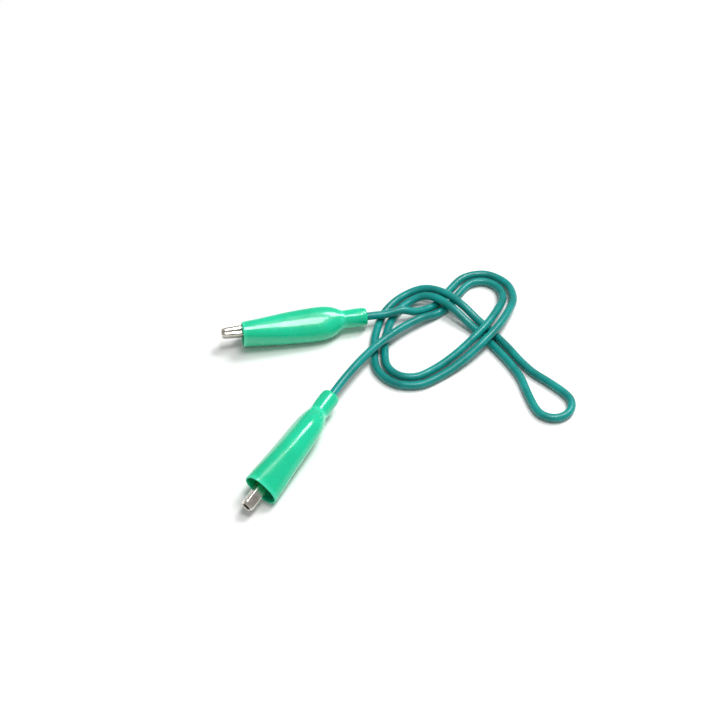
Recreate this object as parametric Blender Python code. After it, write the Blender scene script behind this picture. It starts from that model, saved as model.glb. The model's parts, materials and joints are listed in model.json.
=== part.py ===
"""Alligator clip lead: two sprung metal clips in soft boots, joined by one length of insulated wire.

Metres, +Z up, and the table is the plane z = 0. The origin is the middle of the base of the box
around the two clips. Each clip is modelled in its own frame: x runs to the tip of the jaws, y is
the hinge axis, z is the side that opens, and the frame's origin is on the hinge axis.
"""

import math

import bmesh
import bpy
from mathutils import Matrix, Vector

MM = 0.001

# Wire
WIRE_DIAMETER = 2.4
CONDUCTOR_DIAMETER = 1.24
WIRE_POINT_SPACING = 5.8
STRAND_OFFSET = 1.6
BIGHT_RADIUS = 5.4
BIGHT_NECK = 18.0

# Jaws, in the clip's frame
SHEET = 0.4
JAW_TIP = 16.0
JAW_HALF_WIDTH = 1.6
FOLD_RADIUS = 0.6
TOOTH_PITCH = 1.3
TOOTH_DEPTH = 0.6
TOOTH_COUNT = 8
FIRST_TOOTH = 4.6
JAW_GAP = 0.3
FIXED_EAR_RADIUS = 2.4
FIXED_EAR_HALF_WIDTH = 2.5
MOVING_EAR_RADIUS = 1.9
MOVING_EAR_HALF_WIDTH = 1.8
TAIL_WALL_TOP = -1.45
LEVER_END = -10.5
LEVER_FLANGE = 1.3
CRIMP_START = -13.0
CRIMP_END = -17.2
CRIMP_RADIUS = 1.35
CRIMP_AXIS = -0.7

# Rivet and spring
RIVET_RADIUS = 0.9
RIVET_CLEARANCE = 0.06
RIVET_HEAD_RADIUS = 1.3
RIVET_HEAD_INNER = 2.8
RIVET_HEAD_OUTER = 3.2
SPRING_WIRE = 0.45
SPRING_RADIUS = 1.4
SPRING_PITCH = 0.55
SPRING_TURNS = 3.5

# Boot
BOOT_WALL = 0.55
BOOT_END = -27.5
BOOT_MOUTH = 10.0
BOOT_HOLE_RADIUS = 1.5
COLLAR_RADIUS = 2.85
BOOT_SQUARENESS = 2.4
BOOT_SIDES = 24
WIRE_GAP = 0.3

# Rows of x, half width and depth of the folded back of each half of a clip
FIXED_BACK = [
    (-12.4, 1.4, 2.05),
    (-9.0, 1.9, 2.7),
    (-6.0, 2.3, 2.7),
    (-3.4, FIXED_EAR_HALF_WIDTH, 2.65),
    (1.0, FIXED_EAR_HALF_WIDTH, 2.3),
    (2.5, FIXED_EAR_HALF_WIDTH, 2.1),
    (4.0, 1.95, 1.85),
    (5.3, JAW_HALF_WIDTH, 1.7),
    (10.5, JAW_HALF_WIDTH, 1.6),
    (15.0, JAW_HALF_WIDTH, 1.35),
    (15.7, 1.5, 1.2),
    (JAW_TIP, 1.3, 0.95),
]
MOVING_BACK = [
    (LEVER_END, 1.55, 4.15),
    (-8.5, 1.9, 3.9),
    (-5.5, 1.85, 3.3),
    (-2.0, MOVING_EAR_HALF_WIDTH, 2.7),
    (1.0, MOVING_EAR_HALF_WIDTH, 2.45),
    (2.5, MOVING_EAR_HALF_WIDTH, 2.25),
    (4.0, 1.7, 1.95),
    (5.3, JAW_HALF_WIDTH, 1.75),
    (15.0, JAW_HALF_WIDTH, 1.35),
    (15.7, 1.5, 1.2),
    (JAW_TIP, 1.3, 0.95),
]

# Rows of x, half width, half height and height of the middle of the boot
BOOT_SHAPE = [
    (BOOT_END, BOOT_HOLE_RADIUS, BOOT_HOLE_RADIUS, 0.0),
    (BOOT_END, 2.35, 2.35, 0.0),
    (-27.2, 2.7, 2.7, 0.0),
    (-26.6, COLLAR_RADIUS, COLLAR_RADIUS, 0.0),
    (-20.6, COLLAR_RADIUS, COLLAR_RADIUS, 0.0),
    (-19.4, 3.0, 3.25, 0.05),
    (-17.9, 3.3, 4.1, 0.2),
    (-16.2, 3.6, 4.8, 0.35),
    (-14.0, 3.8, 5.15, 0.5),
    (-10.5, 3.95, 5.2, 0.6),
    (-5.0, 4.25, 4.85, 0.65),
    (0.0, 4.55, 4.4, 0.75),
    (5.0, 4.9, 3.85, 0.9),
    (BOOT_MOUTH, 5.2, 3.4, 0.95),
]

# The clips and the wire are laid out on the table from one corner of the knot; this point of the
# layout, the middle of the base of the box around the two clips, is the origin.
LAYOUT_MIDDLE = (-19.26, -20.0, 0.0)

# Where each clip lies: hinge centre, then roll, pitch and heading in degrees
CLIPS = {
    "a": {"place": (-25.0, 8.4, 5.07), "turn": (-115.0, -2.19, 191.5)},
    "b": {"place": (-22.1, -42.1, 4.14), "turn": (-40.0, 2.31, 239.5)},
}

# The wire runs doubled from both clips through one flat overhand knot to a bight.
# PAIR_ROUTE is the line between the two strands; the leads run from each clip to it.
LEAD_A_ROUTE = [
    (12.6, 16.4, 4.1),
]
LEAD_B_ROUTE = [
    (-3.4, -10.4, 5.4),
    (0.2, -4.6, 4.95),
    (4.0, 0.8, 4.35),
    (8.2, 5.6, 3.9),
    (12.8, 10.2, 3.3),
]
PAIR_ROUTE = [
    (17.6, 15.8, 2.7),
    (22.0, 18.6, 1.5),
    (25.6, 21.8, 1.25),
    (28.9, 27.0, 1.25),
    (33.0, 31.8, 1.25),
    (38.6, 33.0, 1.25),
    (43.6, 29.8, 1.3),
    (45.0, 23.4, 2.3),
    (42.8, 16.6, 3.6),
    (39.2, 10.2, 3.9),
    (35.0, 4.8, 3.7),
    (29.6, -0.6, 2.5),
    (23.2, -5.6, 1.4),
    (16.8, -9.2, 1.25),
    (10.8, -8.7, 1.25),
    (6.6, -4.4, 1.25),
    (5.7, 2.6, 1.25),
    (6.6, 10.6, 1.25),
    (9.0, 17.8, 1.25),
    (13.6, 23.0, 1.7),
    (19.4, 24.8, 3.2),
    (24.8, 22.6, 3.9),
    (29.6, 18.2, 3.5),
    (34.2, 13.4, 1.9),
    (38.4, 8.6, 1.25),
    (42.2, 3.2, 1.25),
    (45.6, -2.4, 1.25),
]

BOOT_COLOUR = (0.03, 0.68, 0.43)
WIRE_COLOUR = (0.02, 0.28, 0.27)
NICKEL_COLOUR = (0.72, 0.69, 0.63)
STEEL_COLOUR = (0.45, 0.44, 0.42)
TINNED_COLOUR = (0.70, 0.66, 0.60)


def clear_scene():
    for thing in list(bpy.data.objects):
        bpy.data.objects.remove(thing, do_unlink=True)


def make_material(name, colour, roughness, metallic):
    material = bpy.data.materials.new(name)
    material.use_nodes = True
    shader = material.node_tree.nodes["Principled BSDF"]
    shader.inputs["Base Color"].default_value = (*colour, 1.0)
    shader.inputs["Roughness"].default_value = roughness
    shader.inputs["Metallic"].default_value = metallic
    return material


def add_object(name, data, material, frame=None):
    thing = bpy.data.objects.new(name, data)
    bpy.context.scene.collection.objects.link(thing)
    data.materials.append(material)
    thing.parent = frame
    return thing


def add_frame(name, place, turn):
    frame = bpy.data.objects.new(name, None)
    bpy.context.scene.collection.objects.link(frame)
    frame.location = (Vector(place) - Vector(LAYOUT_MIDDLE)) * MM
    frame.rotation_euler = [math.radians(angle) for angle in turn]
    return frame


def value_at(rows, x, column):
    """Reads one column of a shape between its rows, along x."""
    for before, after in zip(rows, rows[1:]):
        if x <= after[0]:
            share = (x - before[0]) / (after[0] - before[0])
            return before[column] + share * (after[column] - before[column])
    return rows[-1][column]


def skin_mesh(name, sections, closed):
    """Bridges each cross-section to the next; every section has the same number of points."""
    bm = bmesh.new()
    previous = None
    for section in sections:
        corners = [bm.verts.new(Vector(point) * MM) for point in section]
        pairs = list(zip(corners, corners[1:]))
        if closed:
            pairs.append((corners[-1], corners[0]))
        edges = [bm.edges.new(pair) for pair in pairs]
        if previous:
            bmesh.ops.bridge_loops(bm, edges=previous + edges)
        previous = edges
    bmesh.ops.recalc_face_normals(bm, faces=bm.faces)
    mesh = bpy.data.meshes.new(name)
    bm.to_mesh(mesh)
    bm.free()
    mesh.shade_smooth()
    mesh.set_sharp_from_angle(angle=math.radians(40))
    return mesh


def solidify(thing, thickness, offset):
    wall = thing.modifiers.new("Wall", "SOLIDIFY")
    wall.thickness = thickness * MM
    wall.offset = offset
    wall.use_even_offset = True
    wall.use_quality_normals = True


def tooth_line(x):
    """Height of the zigzag line where the two rows of teeth meet."""
    along = (x - FIRST_TOOTH) / TOOTH_PITCH
    if along <= 0.0 or along >= TOOTH_COUNT:
        return 0.0
    return TOOTH_DEPTH * (0.5 - abs(2.0 * (along % 1.0) - 1.0))


def tooth_stations():
    """Where the zigzag turns: a quarter of a pitch in, then every half pitch."""
    first_turn = FIRST_TOOTH + TOOTH_PITCH / 4.0
    return [first_turn + step * TOOTH_PITCH / 2.0 for step in range(2 * TOOTH_COUNT)]


def ear_stations(radius):
    return [-radius * math.cos(step * math.pi / 8.0) for step in range(9)]


def folded_section(x, half_width, depth, edge):
    """A strip folded to a U: two walls whose free edges are at the height edge, and a flat back."""
    bend = FOLD_RADIUS * (1.0 - math.cos(math.pi / 4.0))
    half = [
        (half_width, edge),
        (half_width, FOLD_RADIUS - depth),
        (half_width - bend, bend - depth),
        (half_width - FOLD_RADIUS, -depth),
    ]
    right = [(x, y, z) for y, z in half]
    left = [(x, -y, z) for y, z in reversed(half)]
    return right + left


def crimp_section(x):
    """The same strip curled round the wire."""
    angles = [150.0, 110.0, 70.0, 25.0]
    half = [
        (CRIMP_RADIUS * math.sin(math.radians(a)), CRIMP_AXIS - CRIMP_RADIUS * math.cos(math.radians(a)))
        for a in angles
    ]
    right = [(x, y, z) for y, z in half]
    left = [(x, -y, z) for y, z in reversed(half)]
    return right + left


def fixed_edge(x):
    if abs(x) < FIXED_EAR_RADIUS:
        return math.sqrt(FIXED_EAR_RADIUS**2 - x**2)
    if x < 0.0:
        return TAIL_WALL_TOP
    return tooth_line(x) - JAW_GAP / 2.0


def moving_edge(x):
    """Depth of the free edge below the hinge, in the upside-down frame of the moving half."""
    if abs(x) < MOVING_EAR_RADIUS:
        return math.sqrt(MOVING_EAR_RADIUS**2 - x**2)
    if x < 0.0:
        return LEVER_FLANGE - value_at(MOVING_BACK, x, 2)
    return -tooth_line(x) - JAW_GAP / 2.0


def jaw_sections(back, ear_radius, edge):
    stations = [row[0] for row in back] + ear_stations(ear_radius) + tooth_stations()
    sections = []
    for x in sorted(set(round(station, 4) for station in stations)):
        sections.append(folded_section(x, value_at(back, x, 1), value_at(back, x, 2), edge(x)))
    return sections


def cut_rivet_holes(jaw, cutter):
    hole = jaw.modifiers.new("Rivet holes", "BOOLEAN")
    hole.operation = "DIFFERENCE"
    hole.solver = "EXACT"
    hole.object = cutter


def make_rivet_cutter(name, frame, material):
    bm = bmesh.new()
    bmesh.ops.create_cone(
        bm,
        cap_ends=True,
        segments=24,
        radius1=(RIVET_RADIUS + RIVET_CLEARANCE) * MM,
        radius2=(RIVET_RADIUS + RIVET_CLEARANCE) * MM,
        depth=4.0 * FIXED_EAR_HALF_WIDTH * MM,
        matrix=Matrix.Rotation(math.radians(90.0), 4, "X"),
    )
    mesh = bpy.data.meshes.new(name)
    bm.to_mesh(mesh)
    bm.free()
    cutter = add_object(name, mesh, material, frame)
    cutter.hide_render = True
    cutter.display_type = "WIRE"
    return cutter


def make_fixed_jaw(name, frame, material, cutter):
    """The lower half: row of teeth, outer ears, tail and the barrel crimped on the wire."""
    crimp = [crimp_section(x) for x in (CRIMP_END, (CRIMP_START + CRIMP_END) / 2.0, CRIMP_START)]
    sections = crimp + jaw_sections(FIXED_BACK, FIXED_EAR_RADIUS, fixed_edge)
    jaw = add_object(name, skin_mesh(name, sections, closed=False), material, frame)
    solidify(jaw, SHEET, -1.0)
    cut_rivet_holes(jaw, cutter)
    return jaw


def make_moving_jaw(name, frame, material, cutter):
    """The upper half: row of teeth, inner ears and the lever that opens the clip."""
    upside_down = jaw_sections(MOVING_BACK, MOVING_EAR_RADIUS, moving_edge)
    sections = [[(x, y, -z) for x, y, z in section] for section in upside_down]
    jaw = add_object(name, skin_mesh(name, sections, closed=False), material, frame)
    solidify(jaw, SHEET, -1.0)
    cut_rivet_holes(jaw, cutter)
    return jaw


def make_rivet(name, frame, material):
    profile = [
        (0.0, -RIVET_HEAD_OUTER),
        (0.7, -RIVET_HEAD_OUTER),
        (RIVET_HEAD_RADIUS, -RIVET_HEAD_OUTER + 0.2),
        (RIVET_HEAD_RADIUS, -RIVET_HEAD_INNER),
        (RIVET_RADIUS, -RIVET_HEAD_INNER),
    ]
    profile += [(radius, -y) for radius, y in reversed(profile)]
    bm = bmesh.new()
    corners = [bm.verts.new(Vector((radius, y, 0.0)) * MM) for radius, y in profile]
    edges = [bm.edges.new(pair) for pair in zip(corners, corners[1:])]
    bmesh.ops.spin(
        bm,
        geom=corners + edges,
        cent=(0.0, 0.0, 0.0),
        axis=(0.0, 1.0, 0.0),
        angle=math.tau,
        steps=20,
        use_merge=True,
    )
    bmesh.ops.remove_doubles(bm, verts=bm.verts, dist=0.00001)
    bmesh.ops.recalc_face_normals(bm, faces=bm.faces)
    mesh = bpy.data.meshes.new(name)
    bm.to_mesh(mesh)
    bm.free()
    mesh.shade_smooth()
    mesh.set_sharp_from_angle(angle=math.radians(35))
    return add_object(name, mesh, material, frame)


def add_tube(name, points, diameter, resolution, material, frame=None):
    curve = bpy.data.curves.new(name, "CURVE")
    curve.dimensions = "3D"
    curve.bevel_depth = diameter / 2.0 * MM
    curve.bevel_resolution = resolution
    curve.use_fill_caps = True
    spline = curve.splines.new("POLY")
    spline.points.add(len(points) - 1)
    for spot, point in zip(spline.points, points):
        spot.co = (*(Vector(point) * MM), 1.0)
    spline.use_smooth = True
    return add_object(name, curve, material, frame)


def make_spring(name, frame, material):
    """A torsion coil round the rivet, its two legs pushing the tail and the lever apart."""
    steps_per_turn = 12
    half_coil = SPRING_PITCH * SPRING_TURNS / 2.0
    points = [(-8.0, half_coil, -1.75), (-4.0, half_coil, -1.6)]
    for step in range(int(SPRING_TURNS * steps_per_turn) + 1):
        turn = step / steps_per_turn
        angle = turn * math.tau
        y = half_coil - turn * SPRING_PITCH
        points.append((SPRING_RADIUS * math.sin(angle), y, -SPRING_RADIUS * math.cos(angle)))
    points += [(-4.0, -half_coil, 1.9), (-7.5, -half_coil, 2.55)]
    return add_tube(name, points, SPRING_WIRE, 1, material, frame)


def make_boot(name, frame, material):
    """A soft sleeve: a collar with a hole for the wire, then a body that is open at the jaws."""
    power = 2.0 / BOOT_SQUARENESS
    sections = []
    for x, half_width, half_height, middle in BOOT_SHAPE:
        squareness = 1.0 if x <= -20.0 else power
        section = []
        for step in range(BOOT_SIDES):
            angle = math.tau * step / BOOT_SIDES
            across = math.copysign(abs(math.cos(angle)) ** squareness, math.cos(angle))
            up = math.copysign(abs(math.sin(angle)) ** squareness, math.sin(angle))
            section.append((x, half_width * across, middle + half_height * up))
        sections.append(section)
    boot = add_object(name, skin_mesh(name, sections, closed=True), material, frame)
    solidify(boot, BOOT_WALL, -1.0)
    return boot


def make_wire_end(letter, frame, insulation, copper):
    """The last of the wire, inside the boot: the insulation, then the bare strands in the crimp."""
    strip = CRIMP_END - 2.0 * WIRE_GAP
    inside = [
        (BOOT_END, 0.0, 0.0),
        (BOOT_END + 4.0, 0.0, 0.0),
        (strip - 1.5, 0.0, CRIMP_AXIS * 0.8),
        (strip, 0.0, CRIMP_AXIS),
    ]
    add_tube(f"wire_end_{letter}", inside, WIRE_DIAMETER, 2, insulation, frame)
    bare = [(strip + WIRE_GAP, 0.0, CRIMP_AXIS), (CRIMP_START + 0.6, 0.0, CRIMP_AXIS)]
    add_tube(f"conductor_{letter}", bare, CONDUCTOR_DIAMETER, 1, copper, frame)


def smooth_path(points, steps=12):
    """A centripetal Catmull-Rom curve through the points."""
    spots = [2.0 * points[0] - points[1]] + points + [2.0 * points[-1] - points[-2]]
    path = []
    for p0, p1, p2, p3 in zip(spots, spots[1:], spots[2:], spots[3:]):
        t1 = (p1 - p0).length ** 0.5
        t2 = t1 + (p2 - p1).length ** 0.5
        t3 = t2 + (p3 - p2).length ** 0.5
        for step in range(steps):
            t = t1 + (t2 - t1) * step / steps
            a1 = p0.lerp(p1, t / t1)
            a2 = p1.lerp(p2, (t - t1) / (t2 - t1))
            a3 = p2.lerp(p3, (t - t2) / (t3 - t2))
            b1 = a1.lerp(a2, t / t2)
            b2 = a2.lerp(a3, (t - t1) / (t3 - t1))
            path.append(b1.lerp(b2, (t - t1) / (t2 - t1)))
    path.append(spots[-2])
    return path


def even_points(path, spacing):
    """Points at equal distances along a path, its two ends included."""
    lengths = [(b - a).length for a, b in zip(path, path[1:])]
    count = max(2, round(sum(lengths) / spacing))
    step = sum(lengths) / count
    points = [path[0]]
    travelled = 0.0
    for (a, b), length in zip(zip(path, path[1:]), lengths):
        while len(points) < count and travelled + length >= step * len(points):
            points.append(a.lerp(b, (step * len(points) - travelled) / length))
        travelled += length
    points.append(path[-1])
    return points


def strand_beside(route, offset):
    """The route moved sideways in plan, to the left of its direction."""
    strand = []
    for index, spot in enumerate(route):
        before = route[max(index - 1, 0)]
        after = route[min(index + 1, len(route) - 1)]
        along = (after - before).to_2d().normalized()
        strand.append(spot + Vector((-along.y, along.x, 0.0)) * offset)
    return strand


def bight_points(route):
    """The folded end of the doubled wire: a drop shape beyond the last point of the pair."""
    last = route[-1]
    along = (last - route[-2]).to_2d().normalized()
    left = Vector((-along.y, along.x))
    neck = [(0.3 * BIGHT_NECK, 0.4 * BIGHT_RADIUS), (0.6 * BIGHT_NECK, 0.7 * BIGHT_RADIUS)]
    turn = []
    for degrees in range(105, -120, -30):
        angle = math.radians(degrees)
        turn.append((BIGHT_NECK + BIGHT_RADIUS * math.cos(angle), BIGHT_RADIUS * math.sin(angle)))
    drop = neck + turn + [(forward, -sideways) for forward, sideways in reversed(neck)]
    points = []
    for forward, sideways in drop:
        spot = last.to_2d() + along * forward + left * sideways
        points.append(Vector((spot.x, spot.y, last.z)))
    return points


def exit_points(frame):
    """Where the wire leaves a boot, and a point on its straight run outside."""
    starts = [BOOT_END - WIRE_GAP, BOOT_END - 3.0, BOOT_END - 6.0]
    return [frame @ Vector((x * MM, 0.0, 0.0)) / MM for x in starts]


def from_middle(route):
    return [Vector(point) - Vector(LAYOUT_MIDDLE) for point in route]


def wire_route(frames):
    """The whole free wire, from the boot of clip a to the boot of clip b."""
    pair = from_middle(PAIR_ROUTE)
    from_a = exit_points(frames["a"]) + from_middle(LEAD_A_ROUTE)
    from_b = exit_points(frames["b"]) + from_middle(LEAD_B_ROUTE)
    there = strand_beside(pair, STRAND_OFFSET)
    back = strand_beside(pair, -STRAND_OFFSET)
    return from_a + there + bight_points(pair) + back[::-1] + from_b[::-1]


def make_lead_wire(name, frames, material):
    points = even_points(smooth_path(wire_route(frames)), WIRE_POINT_SPACING)
    return add_tube(name, points, WIRE_DIAMETER, 2, material)


def make_clip(letter, place, turn, materials):
    frame = add_frame(f"clip_{letter}_frame", place, turn)
    cutter = make_rivet_cutter(f"rivet_cutter_{letter}", frame, materials["steel"])
    make_fixed_jaw(f"fixed_jaw_{letter}", frame, materials["nickel"], cutter)
    make_moving_jaw(f"moving_jaw_{letter}", frame, materials["nickel"], cutter)
    make_rivet(f"rivet_{letter}", frame, materials["steel"])
    make_spring(f"spring_{letter}", frame, materials["steel"])
    make_boot(f"boot_{letter}", frame, materials["boot"])
    make_wire_end(letter, frame, materials["wire"], materials["tinned"])
    return frame


def main():
    clear_scene()
    materials = {
        "boot": make_material("soft green vinyl", BOOT_COLOUR, 0.28, 0.0),
        "wire": make_material("teal wire insulation", WIRE_COLOUR, 0.4, 0.0),
        "nickel": make_material("nickel plated steel", NICKEL_COLOUR, 0.25, 1.0),
        "steel": make_material("spring steel", STEEL_COLOUR, 0.35, 1.0),
        "tinned": make_material("tinned copper strands", TINNED_COLOUR, 0.4, 1.0),
    }
    frames = {}
    for letter, clip in CLIPS.items():
        frames[letter] = make_clip(letter, clip["place"], clip["turn"], materials)
    bpy.context.view_layer.update()
    worlds = {letter: frame.matrix_world.copy() for letter, frame in frames.items()}
    make_lead_wire("lead_wire", worlds, materials["wire"])


main()
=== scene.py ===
import json
import math

import bmesh
import bpy
from mathutils import Euler, Matrix, Vector


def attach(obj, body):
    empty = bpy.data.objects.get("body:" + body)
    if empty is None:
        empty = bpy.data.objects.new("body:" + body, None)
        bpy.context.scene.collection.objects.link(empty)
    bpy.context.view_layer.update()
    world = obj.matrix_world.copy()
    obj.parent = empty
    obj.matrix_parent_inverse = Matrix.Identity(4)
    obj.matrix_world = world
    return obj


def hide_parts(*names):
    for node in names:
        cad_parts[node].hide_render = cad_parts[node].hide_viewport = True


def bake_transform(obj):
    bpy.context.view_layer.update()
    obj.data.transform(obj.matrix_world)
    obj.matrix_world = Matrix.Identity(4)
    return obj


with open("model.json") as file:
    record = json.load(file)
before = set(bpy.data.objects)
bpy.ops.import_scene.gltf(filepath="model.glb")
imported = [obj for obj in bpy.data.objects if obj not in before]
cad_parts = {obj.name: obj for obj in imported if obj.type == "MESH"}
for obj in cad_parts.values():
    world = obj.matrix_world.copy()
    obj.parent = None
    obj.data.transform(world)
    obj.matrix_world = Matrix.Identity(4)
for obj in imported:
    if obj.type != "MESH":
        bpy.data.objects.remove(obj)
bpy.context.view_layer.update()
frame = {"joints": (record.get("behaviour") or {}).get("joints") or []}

mm = 0.001

# How the two clips lie: roll, pitch and heading in degrees. Their hinges come from the frame.
clipTurns = {
    "a": (-115.0, -2.19, 191.5),
    "b": (-40.0, 2.31, 239.5),
}


def clipMatrix(letter):
    # x runs to the tip of the jaws, y is the hinge, z is the side that opens
    joint = next(j for j in frame["joints"] if j["name"] == f"jaw_{letter}_hinge")
    turn = Euler([math.radians(angle) for angle in clipTurns[letter]])
    return Matrix.Translation(Vector(joint["pos_m"])) @ turn.to_matrix().to_4x4()


clips = {letter: clipMatrix(letter) for letter in clipTurns}


# camera

cameraSetup = {
    "lens": 70.0,
    "sensor": 36.0,
    "distance": 0.412,
    "elevation": 48.0,
    "target": (0.01926, 0.0200, 0.0),
}


def addCamera(setup):
    data = bpy.data.cameras.new("camera")
    data.lens = setup["lens"]
    data.sensor_width = setup["sensor"]
    camera = bpy.data.objects.new("camera", data)
    bpy.context.scene.collection.objects.link(camera)
    lean = math.radians(setup["elevation"])
    back = Vector((0.0, -math.cos(lean), math.sin(lean)))
    camera.location = Vector(setup["target"]) + back * setup["distance"]
    camera.rotation_euler = (math.pi / 2.0 - lean, 0.0, 0.0)
    bpy.context.scene.camera = camera
    print("camera set")


addCamera(cameraSetup)


# materials

def linearColour(hexColour):
    channels = [int(hexColour[i:i + 2], 16) / 255.0 for i in (1, 3, 5)]
    return [c / 12.92 if c <= 0.04045 else ((c + 0.055) / 1.055) ** 2.4 for c in channels] + [1.0]


def addNode(tree, kind, settings=None, values=None, links=None):
    # settings are the node's properties, values its sockets, links socket: (node, output)
    node = tree.nodes.new(kind)
    for key, value in (settings or {}).items():
        setattr(node, key, value)
    for key, value in (values or {}).items():
        node.inputs[key].default_value = value
    for key, (source, output) in (links or {}).items():
        tree.links.new(source.outputs[output], node.inputs[key])
    return node


def startMaterial(name, values):
    material = bpy.data.materials.new(name)
    material.use_nodes = True
    tree = material.node_tree
    shader = tree.nodes["Principled BSDF"]
    for key, value in values.items():
        shader.inputs[key].default_value = value
    coords = addNode(tree, "ShaderNodeTexCoord")
    return material, tree, shader, coords


def addNoise(tree, coords, size, detail, roughness=0.5):
    # size in mm
    return addNode(tree, "ShaderNodeTexNoise", None,
                   {"Scale": 1.0 / (size * mm), "Detail": detail, "Roughness": roughness},
                   {"Vector": (coords, "Object")})


def addTone(tree, noise, stops):
    node = addNode(tree, "ShaderNodeValToRGB", links={"Fac": (noise, "Fac")})
    ramp = node.color_ramp
    while len(ramp.elements) < len(stops):
        ramp.elements.new(0.5)
    for element, (place, colour) in zip(ramp.elements, stops):
        element.position = place
        element.color = linearColour(colour)
    return node


def addShine(tree, shader, noise, noiseRange, roughness):
    # spreads the noise between the two roughness values
    node = addNode(tree, "ShaderNodeMapRange", None,
                   {"From Min": noiseRange[0], "From Max": noiseRange[1],
                    "To Min": roughness[0], "To Max": roughness[1]},
                   {"Value": (noise, "Fac")})
    tree.links.new(node.outputs["Result"], shader.inputs["Roughness"])


def addBump(tree, noise, strength, depth, below=None):
    # depth in mm; below is a coarser bump that this one lies on
    links = {"Height": (noise, "Fac")}
    if below is not None:
        links["Normal"] = (below, "Normal")
    return addNode(tree, "ShaderNodeBump", None, {"Strength": strength, "Distance": depth * mm}, links)


bootVinyl = {
    "deep": "#03BE8C",
    "body": "#05CD9B",
    "pale": "#34DEB0",
    "cloudSize": 14.0,         # sizes and depths in mm
    "rippleSize": 3.2,
    "grainSize": 0.35,
    "rippleDepth": 0.1,
    "grainDepth": 0.02,
    "roughness": (0.19, 0.31),
    "shader": {
        "IOR": 1.53,
        "Subsurface Weight": 0.35,
        "Subsurface Radius": (0.35, 1.0, 0.75),
        "Subsurface Scale": 0.0016,
        "Subsurface Anisotropy": 0.2,
        "Specular IOR Level": 0.35,
        "Coat Weight": 0.5,
        "Coat Roughness": 0.04,
        "Coat IOR": 1.5,
    },
}


def makeBootVinyl(look):
    # Dip-moulded soft PVC: milky translucent, glossy skin, thicker and so deeper in colour in places
    material, tree, shader, coords = startMaterial("dip moulded soft PVC", look["shader"])
    clouds = addNoise(tree, coords, look["cloudSize"], 2.0, 0.45)
    tone = addTone(tree, clouds, [(0.3, look["deep"]), (0.62, look["body"])])
    thin = addNode(tree, "ShaderNodeAttribute", {"attribute_name": "thin"})
    paler = addNode(tree, "ShaderNodeMix", {"data_type": "RGBA"}, {7: linearColour(look["pale"])},
                    {0: (thin, "Fac"), 6: (tone, "Color")})   # factor, first and second colour
    tree.links.new(paler.outputs[2], shader.inputs["Base Color"])
    ripples = addNoise(tree, coords, look["rippleSize"], 1.0, 0.4)
    addShine(tree, shader, ripples, (0.3, 0.7), look["roughness"])
    soft = addBump(tree, ripples, 0.2, look["rippleDepth"])
    grain = addNoise(tree, coords, look["grainSize"], 2.0)
    fine = addBump(tree, grain, 0.12, look["grainDepth"], soft)
    tree.links.new(fine.outputs["Normal"], shader.inputs["Normal"])
    return material


wireVinyl = {
    "shade": "#027872",
    "body": "#028A84",
    "light": "#089892",
    "patchSize": 6.0,
    "scuffSize": 0.9,
    "scuffDepth": 0.04,
    "roughness": (0.24, 0.42),
    "shader": {
        "IOR": 1.53,
        "Specular IOR Level": 0.32,
        "Subsurface Weight": 0.1,
        "Subsurface Radius": (0.3, 1.0, 0.9),
        "Subsurface Scale": 0.0006,
        "Coat Weight": 0.12,
        "Coat Roughness": 0.12,
    },
}


def makeWireVinyl(look):
    # Extruded soft PVC insulation: satin skin, uneven in tone along its run, with handling scuffs
    material, tree, shader, coords = startMaterial("extruded PVC insulation", look["shader"])
    patches = addNoise(tree, coords, look["patchSize"], 3.0)
    tone = addTone(tree, patches, [(0.3, look["shade"]), (0.52, look["body"]), (0.75, look["light"])])
    tree.links.new(tone.outputs["Color"], shader.inputs["Base Color"])
    scuffs = addNoise(tree, coords, look["scuffSize"], 4.0)
    addShine(tree, shader, scuffs, (0.35, 0.7), look["roughness"])
    skin = addBump(tree, scuffs, 0.18, look["scuffDepth"])
    tree.links.new(skin.outputs["Normal"], shader.inputs["Normal"])
    return material


jawNickel = {
    "dull": "#B9B2A6",
    "bright": "#E6E1D8",
    "stainSize": 2.5,
    "grainSize": 0.25,
    "grainDepth": 0.02,
    "roughness": (0.13, 0.33),
}


def makeJawNickel(look):
    # Bright nickel over stamped steel: slightly warm, rolled grain under the plate, duller in patches
    material, tree, shader, coords = startMaterial("bright nickel on stamped steel", {"Metallic": 1.0})
    stains = addNoise(tree, coords, look["stainSize"], 4.0)
    tone = addTone(tree, stains, [(0.3, look["dull"]), (0.62, look["bright"])])
    tree.links.new(tone.outputs["Color"], shader.inputs["Base Color"])
    addShine(tree, shader, stains, (0.3, 0.75), look["roughness"])
    rolled = addNoise(tree, coords, look["grainSize"], 3.0)
    grain = addBump(tree, rolled, 0.10, look["grainDepth"])
    tree.links.new(grain.outputs["Normal"], shader.inputs["Normal"])
    return material


drawnMetals = {                # dark, light, roughness, size of the grain in mm
    "drawn spring steel": ("#6E6C68", "#9C9A95", (0.22, 0.38), 0.4),
    "nickel plated rivet steel": ("#A9A499", "#D5D0C6", (0.18, 0.34), 0.6),
    "tinned copper wire": ("#B7A995", "#DAD0C0", (0.24, 0.40), 0.3),
}


def makeDrawnMetal(name):
    # Drawn or headed wire: fine grain that breaks up the highlight
    dark, light, roughness, grainSize = drawnMetals[name]
    material, tree, shader, coords = startMaterial(name, {"Metallic": 1.0})
    grain = addNoise(tree, coords, grainSize, 3.0)
    tone = addTone(tree, grain, [(0.3, dark), (0.7, light)])
    tree.links.new(tone.outputs["Color"], shader.inputs["Base Color"])
    addShine(tree, shader, grain, (0.0, 1.0), roughness)
    return material


materials = {
    "boot": makeBootVinyl(bootVinyl),
    "wire": makeWireVinyl(wireVinyl),
    "nickel": makeJawNickel(jawNickel),
    "spring": makeDrawnMetal("drawn spring steel"),
    "rivet": makeDrawnMetal("nickel plated rivet steel"),
    "strand": makeDrawnMetal("tinned copper wire"),
}
print("materials made")


# shared mesh work

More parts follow.
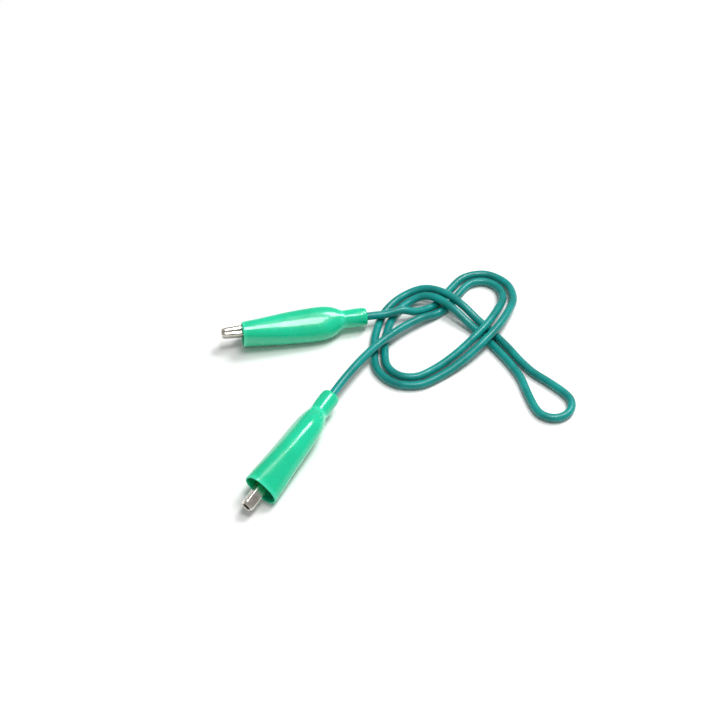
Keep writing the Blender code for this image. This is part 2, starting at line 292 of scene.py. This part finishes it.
def finishMesh(name, bm, material, matrix=None):
    if matrix is not None:
        bmesh.ops.transform(bm, matrix=matrix, verts=bm.verts)
    mesh = bpy.data.meshes.new(name)
    bm.to_mesh(mesh)
    bm.free()
    mesh.shade_smooth()
    mesh.materials.append(material)
    piece = bpy.data.objects.new(name, mesh)
    bpy.context.scene.collection.objects.link(piece)
    return piece


def applyModifiers(piece):
    graph = bpy.context.evaluated_depsgraph_get()
    mesh = bpy.data.meshes.new_from_object(piece.evaluated_get(graph))
    piece.modifiers.clear()
    piece.data = mesh
    mesh.shade_smooth()


def addSolidify(piece, thickness):
    wall = piece.modifiers.new("wall", "SOLIDIFY")
    wall.thickness = thickness * mm
    wall.offset = -1.0         # the drawn sheet is the outside
    wall.use_even_offset = True
    wall.use_quality_normals = True


def addSubdivision(piece, levels):
    smooth = piece.modifiers.new("smooth", "SUBSURF")
    smooth.levels = levels
    smooth.render_levels = levels


def addBevel(piece, setup):
    edge = piece.modifiers.new("edge", "BEVEL")
    edge.width = setup["edgeBreak"] * mm
    edge.segments = setup["edgeSegments"]
    edge.limit_method = "ANGLE"
    edge.angle_limit = math.radians(setup["edgeAngle"])


def smoothPath(points, steps=12):
    # centripetal Catmull-Rom through the points
    spots = [2.0 * points[0] - points[1]] + points + [2.0 * points[-1] - points[-2]]
    path = []
    for p0, p1, p2, p3 in zip(spots, spots[1:], spots[2:], spots[3:]):
        t1 = (p1 - p0).length ** 0.5
        t2 = t1 + (p2 - p1).length ** 0.5
        t3 = t2 + (p3 - p2).length ** 0.5
        for step in range(steps):
            t = t1 + (t2 - t1) * step / steps
            a1 = p0.lerp(p1, t / t1)
            a2 = p1.lerp(p2, (t - t1) / (t2 - t1))
            a3 = p2.lerp(p3, (t - t2) / (t3 - t2))
            b1 = a1.lerp(a2, t / t2)
            b2 = a2.lerp(a3, (t - t1) / (t3 - t1))
            path.append(b1.lerp(b2, (t - t1) / (t2 - t1)))
    path.append(spots[-2])
    return path


def evenPoints(path, spacing):
    # the same path with its points equally far apart
    lengths = [(b - a).length for a, b in zip(path, path[1:])]
    count = max(2, round(sum(lengths) / spacing))
    step = sum(lengths) / count
    points = [path[0]]
    travelled = 0.0
    for (a, b), length in zip(zip(path, path[1:]), lengths):
        while len(points) < count and travelled + length >= step * len(points):
            points.append(a.lerp(b, (step * len(points) - travelled) / length))
        travelled += length
    points.append(path[-1])
    return points


def pathLength(path):
    return sum((b - a).length for a, b in zip(path, path[1:]))


def addTubes(name, runs, setup, material):
    # each run is a list of points in metres
    curve = bpy.data.curves.new(name, "CURVE")
    curve.dimensions = "3D"
    curve.bevel_depth = setup["diameter"] / 2.0 * mm
    curve.bevel_resolution = setup["roundness"]
    curve.use_fill_caps = True
    for points in runs:
        spline = curve.splines.new("POLY")
        spline.points.add(len(points) - 1)
        for spot, point in zip(spline.points, points):
            spot.co = (*point, 1.0)
        spline.use_smooth = True
    curve.materials.append(material)
    piece = bpy.data.objects.new(name, curve)
    bpy.context.scene.collection.objects.link(piece)
    return piece


def tubeToMesh(tube):
    graph = bpy.context.evaluated_depsgraph_get()
    mesh = bpy.data.meshes.new_from_object(tube.evaluated_get(graph))
    mesh.shade_smooth()
    piece = bpy.data.objects.new(tube.name + "Mesh", mesh)
    bpy.context.scene.collection.objects.link(piece)
    bpy.data.objects.remove(tube, do_unlink=True)
    return piece


# the free wire

leadWire = {
    "diameter": 2.4,
    "roundness": 6,
    "bootEnd": -27.5,          # end of the collar in the clip's x
    "inside": 1.4,             # how far the free wire is carried into the collar
    "straight": (0.3, 3.0, 6.0),   # points straight out of the collar
    "strandOffset": 1.6,       # from the middle of the doubled wire
    "bightRadius": 5.4,
    "bightNeck": 18.0,
    "bightFlare": [(0.3, 0.4), (0.6, 0.7)],    # shares of the neck and of the radius
    "bightTurn": range(105, -120, -30),        # degrees round the end of the fold
    "spacing": 0.9,
    "layoutMiddle": (-19.26, -20.0, 0.0),
    "leadA": [
        (12.6, 16.4, 4.1),
    ],
    "leadB": [
        (-3.4, -10.4, 5.4),
        (0.2, -4.6, 4.95),
        (4.0, 0.8, 4.35),
        (8.2, 5.6, 3.9),
        (12.8, 10.2, 3.3),
    ],
    "pair": [
        (17.6, 15.8, 2.7),
        (22.0, 18.6, 1.5),
        (25.6, 21.8, 1.25),
        (28.9, 27.0, 1.25),
        (33.0, 31.8, 1.25),
        (38.6, 33.0, 1.25),
        (43.6, 29.8, 1.3),
        (45.0, 23.4, 2.3),
        (42.8, 16.6, 3.6),
        (39.2, 10.2, 3.9),
        (35.0, 4.8, 3.7),
        (29.6, -0.6, 2.5),
        (23.2, -5.6, 1.4),
        (16.8, -9.2, 1.25),
        (10.8, -8.7, 1.25),
        (6.6, -4.4, 1.25),
        (5.7, 2.6, 1.25),
        (6.6, 10.6, 1.25),
        (9.0, 17.8, 1.25),
        (13.6, 23.0, 1.7),
        (19.4, 24.8, 3.2),
        (24.8, 22.6, 3.9),
        (29.6, 18.2, 3.5),
        (34.2, 13.4, 1.9),
        (38.4, 8.6, 1.25),
        (42.2, 3.2, 1.25),
        (45.6, -2.4, 1.25),
    ],
}


def strandBeside(route, offset):
    # one strand of the doubled wire, to the left of the route, or to the right if offset is negative
    strand = []
    for index, spot in enumerate(route):
        before = route[max(index - 1, 0)]
        after = route[min(index + 1, len(route) - 1)]
        along = (after - before).to_2d().normalized()
        strand.append(spot + Vector((-along.y, along.x, 0.0)) * offset)
    return strand


def bightPoints(route, setup):
    # the drop-shaped fold where the doubled wire turns back
    last = route[-1]
    along = (last - route[-2]).to_2d().normalized()
    left = Vector((-along.y, along.x))
    radius = setup["bightRadius"]
    neck = setup["bightNeck"]
    flare = [(share * neck, spread * radius) for share, spread in setup["bightFlare"]]
    drop = list(flare)
    for degrees in setup["bightTurn"]:
        angle = math.radians(degrees)
        drop.append((neck + radius * math.cos(angle), radius * math.sin(angle)))
    drop += [(forward, -sideways) for forward, sideways in reversed(flare)]
    points = []
    for forward, sideways in drop:
        spot = last.to_2d() + along * forward + left * sideways
        points.append(Vector((spot.x, spot.y, last.z)))
    return points


def wireSpot(letter, x):
    return clips[letter] @ Vector((x * mm, 0.0, 0.0))


def wireRoute(setup):
    middle = Vector(setup["layoutMiddle"])
    leadA, leadB, pair = [
        [Vector(point) - middle for point in setup[part]] for part in ("leadA", "leadB", "pair")
    ]
    runs = (-setup["inside"], *setup["straight"])
    exits = {
        letter: [wireSpot(letter, setup["bootEnd"] - run) / mm for run in runs] for letter in clips
    }
    there = exits["a"] + leadA + strandBeside(pair, setup["strandOffset"])
    back = exits["b"] + leadB + strandBeside(pair, -setup["strandOffset"])
    return there + bightPoints(pair, setup) + back[::-1]


def makeLeadWire(setup, material):
    path = [point * mm for point in smoothPath(wireRoute(setup))]
    points = evenPoints(path, setup["spacing"] * mm)
    wire = addTubes("leadWire", [points], setup, material)
    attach(wire, "lead")
    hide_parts("lead_wire")
    print(f"wire laid, {pathLength(path) / mm:.0f} mm")


makeLeadWire(leadWire, materials["wire"])


# floor and light

studio = {
    "floor": "#F1F2F1",
    "floorRoughness": 0.55,
    "floorSpecular": 0.3,
    "floorSize": 3.0,
    "world": 0.38,
    "aim": (0.0, 0.0, 0.0),
    "side": {"place": (0.35, 0.3, 0.7), "size": (0.3, 0.3), "power": 4.4},
    "key": {"place": (0.14, -0.03, 0.7), "size": (0.22, 0.2), "power": 2.1},
}


def addAreaLight(name, setup, aim):
    data = bpy.data.lights.new(name, "AREA")
    data.shape = "RECTANGLE"
    data.size, data.size_y = setup["size"]
    data.energy = setup["power"]
    light = bpy.data.objects.new(name, data)
    bpy.context.scene.collection.objects.link(light)
    light.location = setup["place"]
    light.rotation_euler = (Vector(aim) - Vector(setup["place"])).to_track_quat("-Z", "Y").to_euler()


def makeStudio(setup):
    bm = bmesh.new()
    bmesh.ops.create_grid(bm, x_segments=1, y_segments=1, size=setup["floorSize"])
    # Matt white paper: no mirror image of the clips, only soft shadows
    paper = startMaterial("matt white paper", {
        "Roughness": setup["floorRoughness"],
        "Base Color": linearColour(setup["floor"]),
        "Specular IOR Level": setup["floorSpecular"],
    })[0]
    floor = finishMesh("floor", bm, paper)
    world = bpy.data.worlds.new("studio")
    world.use_nodes = True
    backdrop = world.node_tree.nodes["Background"]
    backdrop.inputs["Color"].default_value = (1.0, 1.0, 1.0, 1.0)
    backdrop.inputs["Strength"].default_value = setup["world"]
    bpy.context.scene.world = world
    addAreaLight("sideBox", setup["side"], setup["aim"])
    addAreaLight("keyBox", setup["key"], setup["aim"])
    bpy.context.scene.view_settings.view_transform = "Standard"
    print("studio lit")


makeStudio(studio)


# boots

bootShape = {
    "wall": 0.5,
    "sides": 32,
    "levels": 2,
    "stations": [              # x, half width, half height, height of the middle, squareness
        (-27.42, 1.26, 1.26, 0.0, 2.0),
        (-27.5, 2.1, 2.1, 0.0, 2.0),
        (-27.4, 2.55, 2.55, 0.0, 2.0),
        (-26.9, 2.8, 2.8, 0.0, 2.0),
        (-25.0, 2.84, 2.84, 0.0, 2.0),
        (-22.6, 2.8, 2.8, 0.0, 2.0),
        (-21.0, 2.7, 2.7, 0.0, 2.0),
        (-20.2, 2.7, 2.75, 0.02, 2.0),
        (-19.3, 2.95, 3.3, 0.07, 2.05),
        (-18.0, 3.28, 4.1, 0.2, 2.15),
        (-16.4, 3.56, 4.76, 0.35, 2.25),
        (-14.2, 3.78, 5.13, 0.5, 2.35),
        (-11.5, 3.9, 5.2, 0.58, 2.4),
        (-8.0, 4.08, 5.04, 0.62, 2.4),
        (-4.0, 4.3, 4.78, 0.67, 2.4),
        (0.0, 4.54, 4.4, 0.75, 2.4),
        (4.0, 4.82, 3.96, 0.87, 2.4),
        (7.4, 5.04, 3.63, 0.92, 2.4),
        (9.4, 5.16, 3.44, 0.94, 2.4),
        (10.0, 5.2, 3.4, 0.95, 2.4),
    ],
    "sag": 0.1,                # mm that the flat sides sink between jaws and lever
    "sagReach": (-18.0, 7.0),
    "sagFade": 6.0,
    "sagNarrowness": 3.0,      # the higher, the narrower the sunken band along the side
    "neck": (-20.0, 1.3),      # middle and half length of the thin ring behind the body
    "lip": (8.6, 1.4),         # start and length of the thin edge of the mouth
    "bend": (0.3, 5.0),        # mm along the slant where the pull of the moving jaw starts and is whole
    "slants": {                # in the clip's axes; clip a's leans, so its lower edge stays on the table
        "a": (0.25, -0.8, 1.0),
        "b": (0.25, 0.0, 1.0),
    },
}


def clamp(value):
    return min(max(value, 0.0), 1.0)


def squareUp(bm, setup):
    # turns the round rings to soft squares, as the sleeve stretched over the metal is
    rows = setup["stations"]
    tiny = 0.001
    sagStart, sagEnd = setup["sagReach"]
    for vert in bm.verts:
        x, y, z = vert.co / mm
        index = max(i for i in range(len(rows) - 1) if rows[i][0] <= x + tiny or i == 0)
        before, after = rows[index], rows[index + 1]
        share = clamp((x - before[0]) / (after[0] - before[0]))
        width, height, middle, power = [b + share * (a - b) for b, a in zip(before[1:], after[1:])]
        across, up = y / width, (z - middle) / height
        reach = math.hypot(across, up)
        if reach < tiny or power <= 2.0 + tiny:
            continue
        square = (abs(across / reach) ** power + abs(up / reach) ** power) ** (-1.0 / power)
        body = clamp((x - sagStart) / setup["sagFade"]) * clamp((sagEnd - x) / setup["sagFade"])
        side = clamp(1.0 - (up / reach) ** 2 * setup["sagNarrowness"])
        sink = 1.0 - setup["sag"] / width * body * side
        vert.co.y = across * square * width * mm * sink
        vert.co.z = (up * square * height + middle) * mm


def markThinSkin(piece, letter, setup):
    # 1 at the neck behind the body and at the lip, where the vinyl is thinnest
    thin = piece.data.attributes.new("thin", "FLOAT", "POINT")
    toClip = clips[letter].inverted()
    neck, neckReach = setup["neck"]
    lip, lipReach = setup["lip"]
    for vert, mark in zip(piece.data.vertices, thin.data):
        x = (toClip @ vert.co).x / mm
        mark.value = max(0.0, 1.0 - abs(x - neck) / neckReach, (x - lip) / lipReach)


def makeBoot(letter, setup, material):
    bm = bmesh.new()
    rows = setup["stations"]
    place = Matrix.Translation((rows[0][0] * mm, 0.0, 0.0)) @ Matrix.Rotation(math.pi / 2.0, 4, "Y")
    bmesh.ops.create_circle(bm, segments=setup["sides"], radius=rows[0][1] * mm, matrix=place)
    ring = list(bm.edges)
    for before, after in zip(rows, rows[1:]):
        grown = bmesh.ops.extrude_edge_only(bm, edges=ring)["geom"]
        verts = [g for g in grown if isinstance(g, bmesh.types.BMVert)]
        ring = [g for g in grown if isinstance(g, bmesh.types.BMEdge)]
        centre = Matrix.Translation((0.0, 0.0, -before[3] * mm))
        stretch = (1.0, after[1] / before[1], after[2] / before[2])
        bmesh.ops.scale(bm, vec=stretch, space=centre, verts=verts)
        shift = Vector((after[0] - before[0], 0.0, after[3] - before[3])) * mm
        bmesh.ops.translate(bm, vec=shift, verts=verts)
    squareUp(bm, setup)
    bmesh.ops.recalc_face_normals(bm, faces=bm.faces)
    if bm.faces[0].normal.x > 0.0:
        bmesh.ops.reverse_faces(bm, faces=bm.faces)
    boot = finishMesh(f"bootSkin.{letter}", bm, material, clips[letter])
    addSolidify(boot, setup["wall"])
    addSubdivision(boot, setup["levels"])
    applyModifiers(boot)
    markThinSkin(boot, letter, setup)
    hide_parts(f"boot_{letter}")
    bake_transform(boot)


for letter in clips:
    makeBoot(letter, bootShape, materials["boot"])
print("boots made")


# jaws

jawSheet = {
    "thickness": 0.4,
    "foldRadius": 0.6,
    "foldSteps": 4,
    "edgeBreak": 0.05,         # rounding left on the cut edges by tumbling
    "edgeSegments": 2,
    "edgeAngle": 35.0,
    "sharpAngle": 40.0,
    "earSteps": 16,
    "firstTooth": 4.6,
    "toothPitch": 1.3,
    "toothDepth": 0.6,
    "toothCount": 8,
    "toothGap": 0.3,
    "rivetHole": 0.96,         # radius
    "drillDepth": 10.0,
    "drillSides": 32,
}
fixedJaw = {
    "earRadius": 2.4,
    "tailTop": -1.45,
    "crimpRadius": 1.35,
    "crimpAxis": -0.7,
    "crimpFrom": -17.2,
    "crimpTo": -13.0,
    "crimpRows": 4,
    "crimpWrap": 150.0,        # degrees that each side is rolled round the strands
    "back": [                  # x, half width, depth
        (-12.4, 1.4, 2.05),
        (-9.0, 1.9, 2.7),
        (-6.0, 2.3, 2.7),
        (-3.4, 2.5, 2.65),
        (1.0, 2.5, 2.3),
        (2.5, 2.5, 2.1),
        (4.0, 1.95, 1.85),
        (5.3, 1.6, 1.7),
        (10.5, 1.6, 1.6),
        (15.0, 1.6, 1.35),
        (15.7, 1.5, 1.2),
        (16.0, 1.3, 0.95),
    ],
}
movingJaw = {
    "earRadius": 1.9,
    "leverFlange": 1.3,
    "back": [                  # x, half width, depth
        (-10.5, 1.55, 4.15),
        (-8.5, 1.9, 3.9),
        (-5.5, 1.85, 3.3),
        (-2.0, 1.8, 2.7),
        (1.0, 1.8, 2.45),
        (2.5, 1.8, 2.25),
        (4.0, 1.7, 1.95),
        (5.3, 1.6, 1.75),
        (15.0, 1.6, 1.35),
        (15.7, 1.5, 1.2),
        (16.0, 1.3, 0.95),
    ],
}


def backAt(rows, x, column):
    # width or depth of the folded sheet between two rows
    for before, after in zip(rows, rows[1:]):
        if x <= after[0]:
            share = (x - before[0]) / (after[0] - before[0])
            return before[column] + share * (after[column] - before[column])
    return rows[-1][column]


def toothLine(x):
    # a zigzag about the mouth line, which it leaves and meets again at mid height
    along = (x - jawSheet["firstTooth"]) / jawSheet["toothPitch"]
    if along <= 0.0 or along >= jawSheet["toothCount"]:
        return 0.0
    return jawSheet["toothDepth"] * (abs(2.0 * ((along + 0.25) % 1.0) - 1.0) - 0.5)


def fixedEdge(x):
    if abs(x) < fixedJaw["earRadius"]:
        return math.sqrt(fixedJaw["earRadius"] ** 2 - x ** 2)
    return fixedJaw["tailTop"] if x < 0.0 else toothLine(x) - jawSheet["toothGap"] / 2.0


def movingEdge(x):
    if abs(x) < movingJaw["earRadius"]:
        return math.sqrt(movingJaw["earRadius"] ** 2 - x ** 2)
    if x < 0.0:
        return movingJaw["leverFlange"] - backAt(movingJaw["back"], x, 2)
    return -toothLine(x) - jawSheet["toothGap"] / 2.0


def jawStations(setup):
    # rows where the back changes, round the ear, and at each tip and root of the teeth
    steps = jawSheet["earSteps"]
    halfPitch = jawSheet["toothPitch"] / 2.0
    firstTurn = jawSheet["firstTooth"] + halfPitch / 2.0
    stations = [row[0] for row in setup["back"]]
    stations += [-setup["earRadius"] * math.cos(step * math.pi / steps) for step in range(steps + 1)]
    stations += [firstTurn + turn * halfPitch for turn in range(2 * jawSheet["toothCount"])]
    return sorted(set(round(x, 4) for x in stations))


def foldedStrip(bm, setup, x, edge):
    # one bend line of the blank: wall, rounded fold, back, fold, wall
    radius = jawSheet["foldRadius"]
    steps = jawSheet["foldSteps"]
    width, depth = backAt(setup["back"], x, 1), backAt(setup["back"], x, 2)
    half = [(width, edge)]
    for step in range(steps + 1):
        angle = step / steps * math.pi / 2.0
        across = width - radius + radius * math.cos(angle)
        half.append((across, radius - depth - radius * math.sin(angle)))
    half.append((0.0, -depth))
    return joinStrip(bm, x, half)


def curledStrip(bm, setup, x):
    # the barrel that is rolled round the bare strands, with as many points as a folded strip
    radius = setup["crimpRadius"]
    last = jawSheet["foldSteps"] + 2
    half = []
    for step in range(last + 1):
        angle = math.radians(setup["crimpWrap"] * (1.0 - step / last))
        half.append((radius * math.sin(angle), setup["crimpAxis"] - radius * math.cos(angle)))
    return joinStrip(bm, x, half)


def joinStrip(bm, x, half):
    line = half + [(-y, z) for y, z in reversed(half[:-1])]
    verts = [bm.verts.new(Vector((x, y, z)) * mm) for y, z in line]
    return [bm.edges.new(pair) for pair in zip(verts, verts[1:])]


def makeDrill(letter):
    radius = jawSheet["rivetHole"] * mm
    bm = bmesh.new()
    bmesh.ops.create_cone(bm, cap_ends=True, segments=jawSheet["drillSides"], radius1=radius, radius2=radius,
                          depth=jawSheet["drillDepth"] * mm, matrix=Matrix.Rotation(math.pi / 2.0, 4, "X"))
    return finishMesh("drill", bm, materials["nickel"], clips[letter])


def makeJaw(name, node, body, letter, setup, edge, up):
    # up is -1 for the moving jaw, which is the same folding upside down
    bm = bmesh.new()
    strips = []
    if "crimpFrom" in setup:
        step = (setup["crimpTo"] - setup["crimpFrom"]) / (setup["crimpRows"] - 1)
        spots = [setup["crimpFrom"] + row * step for row in range(setup["crimpRows"])]
        strips += [curledStrip(bm, setup, x) for x in spots]
    strips += [foldedStrip(bm, setup, x, edge(x)) for x in jawStations(setup)]
    for before, after in zip(strips, strips[1:]):
        bmesh.ops.bridge_loops(bm, edges=before + after)
    bmesh.ops.scale(bm, vec=(1.0, 1.0, up), verts=bm.verts)
    bmesh.ops.recalc_face_normals(bm, faces=bm.faces)
    back = min(bm.faces, key=lambda face: face.calc_center_median().z * up)
    if back.normal.z * up > 0.0:
        bmesh.ops.reverse_faces(bm, faces=bm.faces)
    jaw = finishMesh(name, bm, materials["nickel"], clips[letter])
    addSolidify(jaw, jawSheet["thickness"])
    drill = makeDrill(letter)
    hole = jaw.modifiers.new("hole", "BOOLEAN")
    hole.operation = "DIFFERENCE"
    hole.solver = "EXACT"
    hole.object = drill
    addBevel(jaw, jawSheet)
    applyModifiers(jaw)
    jaw.data.set_sharp_from_angle(angle=math.radians(jawSheet["sharpAngle"]))
    bpy.data.objects.remove(drill, do_unlink=True)
    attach(jaw, body)
    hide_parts(node)


for letter in clips:
    makeJaw(f"fixedJaw.{letter}", f"fixed_jaw_{letter}", "lead", letter,
            fixedJaw, fixedEdge, 1.0)
    makeJaw(f"movingJaw.{letter}", f"moving_jaw_{letter}", f"jaw_{letter}", letter,
            movingJaw, movingEdge, -1.0)
print("jaws folded")


# rivets

rivetShape = {
    "steps": 40,
    "merge": 0.002,
    "sharpAngle": 50.0,
    "profile": [               # radius, distance along the pin: a rolled head with a small dimple
        (0.0, 3.06),
        (0.3, 3.08),
        (0.5, 3.18),
        (0.75, 3.2),
        (1.05, 3.13),
        (1.25, 3.0),
        (1.3, 2.88),
        (1.26, 2.8),
        (0.9, 2.8),
    ],
}


def makeRivet(letter, setup):
    bm = bmesh.new()
    outline = setup["profile"] + [(radius, -y) for radius, y in reversed(setup["profile"])]
    verts = [bm.verts.new(Vector((radius, y, 0.0)) * mm) for radius, y in outline]
    edges = [bm.edges.new(pair) for pair in zip(verts, verts[1:])]
    bmesh.ops.spin(bm, geom=verts + edges, cent=(0, 0, 0), axis=(0, 1, 0), angle=math.tau,
                   steps=setup["steps"], use_merge=True)
    bmesh.ops.remove_doubles(bm, verts=bm.verts, dist=setup["merge"] * mm)
    bmesh.ops.recalc_face_normals(bm, faces=bm.faces)
    rivet = finishMesh(f"rivet.{letter}.pin", bm, materials["rivet"], clips[letter])
    rivet.data.set_sharp_from_angle(angle=math.radians(setup["sharpAngle"]))
    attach(rivet, "lead")
    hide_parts(f"rivet_{letter}")


for letter in clips:
    makeRivet(letter, rivetShape)
print("rivets set")


# springs

springCoil = {
    "diameter": 0.45,
    "roundness": 4,
    "radius": 1.4,
    "pitch": 0.55,
    "turns": 3.5,
    "stepsPerTurn": 28,
    "tailLeg": [(-8.0, -1.75), (-6.0, -1.68), (-4.0, -1.6), (-2.0, -1.5)],
    "leverLeg": [(-1.9, 1.6), (-4.0, 1.9), (-6.0, 2.28), (-7.5, 2.55)],
    "bend": (-1.5, 1.8),       # heights where the pull of the lever starts and is whole
}


def makeSpring(letter, setup):
    half = setup["pitch"] * setup["turns"] / 2.0
    points = [Vector((x, half, z)) for x, z in setup["tailLeg"]]
    radius = setup["radius"]
    for step in range(int(setup["turns"] * setup["stepsPerTurn"]) + 1):
        turn = step / setup["stepsPerTurn"]
        angle = turn * math.tau
        y = half - turn * setup["pitch"]
        points.append(Vector((radius * math.sin(angle), y, -radius * math.cos(angle))))
    points += [Vector((x, -half, z)) for x, z in setup["leverLeg"]]
    run = [clips[letter] @ (point * mm) for point in points]
    spring = tubeToMesh(addTubes(f"springWire.{letter}", [run], setup, materials["spring"]))
    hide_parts(f"spring_{letter}")
    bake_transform(spring)


for letter in clips:
    makeSpring(letter, springCoil)
print("springs wound")


# wire ends and strands inside the boots

wireEnd = {
    "diameter": 2.4,
    "roundness": 6,
    "line": [                  # x and z, from the free wire inside the collar to the barrel
        (-26.2, 0.0),
        (-23.5, 0.0),
        (-19.3, -0.56),
        (-17.8, -0.7),
    ],
    "spacing": 0.7,
}
strandSet = {
    "diameter": 0.4,
    "roundness": 2,
    "start": -17.6,
    "end": -12.45,
    "around": 6,               # strands round the one in the middle
    "steps": 12,
    "twist": 9.0,              # mm for one turn
}


def makeWireEnd(letter, setup):
    path = smoothPath([Vector((x, 0.0, z)) for x, z in setup["line"]])
    run = [clips[letter] @ (point * mm) for point in evenPoints(path, setup["spacing"])]
    end = tubeToMesh(addTubes(f"wireStub.{letter}", [run], setup, materials["wire"]))
    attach(end, "lead")
    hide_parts(f"wire_end_{letter}")


def makeStrands(letter, setup):
    length = setup["end"] - setup["start"]
    runs = []
    for strand in range(setup["around"] + 1):
        reach = 0.0 if strand == 0 else setup["diameter"]
        run = []
        for step in range(setup["steps"] + 1):
            along = step / setup["steps"] * length
            angle = math.tau * (strand / setup["around"] + along / setup["twist"])
            place = Vector((setup["start"] + along, reach * math.sin(angle),
                            fixedJaw["crimpAxis"] + reach * math.cos(angle)))
            run.append(clips[letter] @ (place * mm))
        runs.append(run)
    bundle = tubeToMesh(addTubes(f"strands.{letter}", runs, setup, materials["strand"]))
    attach(bundle, "lead")
    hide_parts(f"conductor_{letter}")


for letter in clips:
    makeWireEnd(letter, wireEnd)
    makeStrands(letter, strandSet)
print("wire ends stripped")
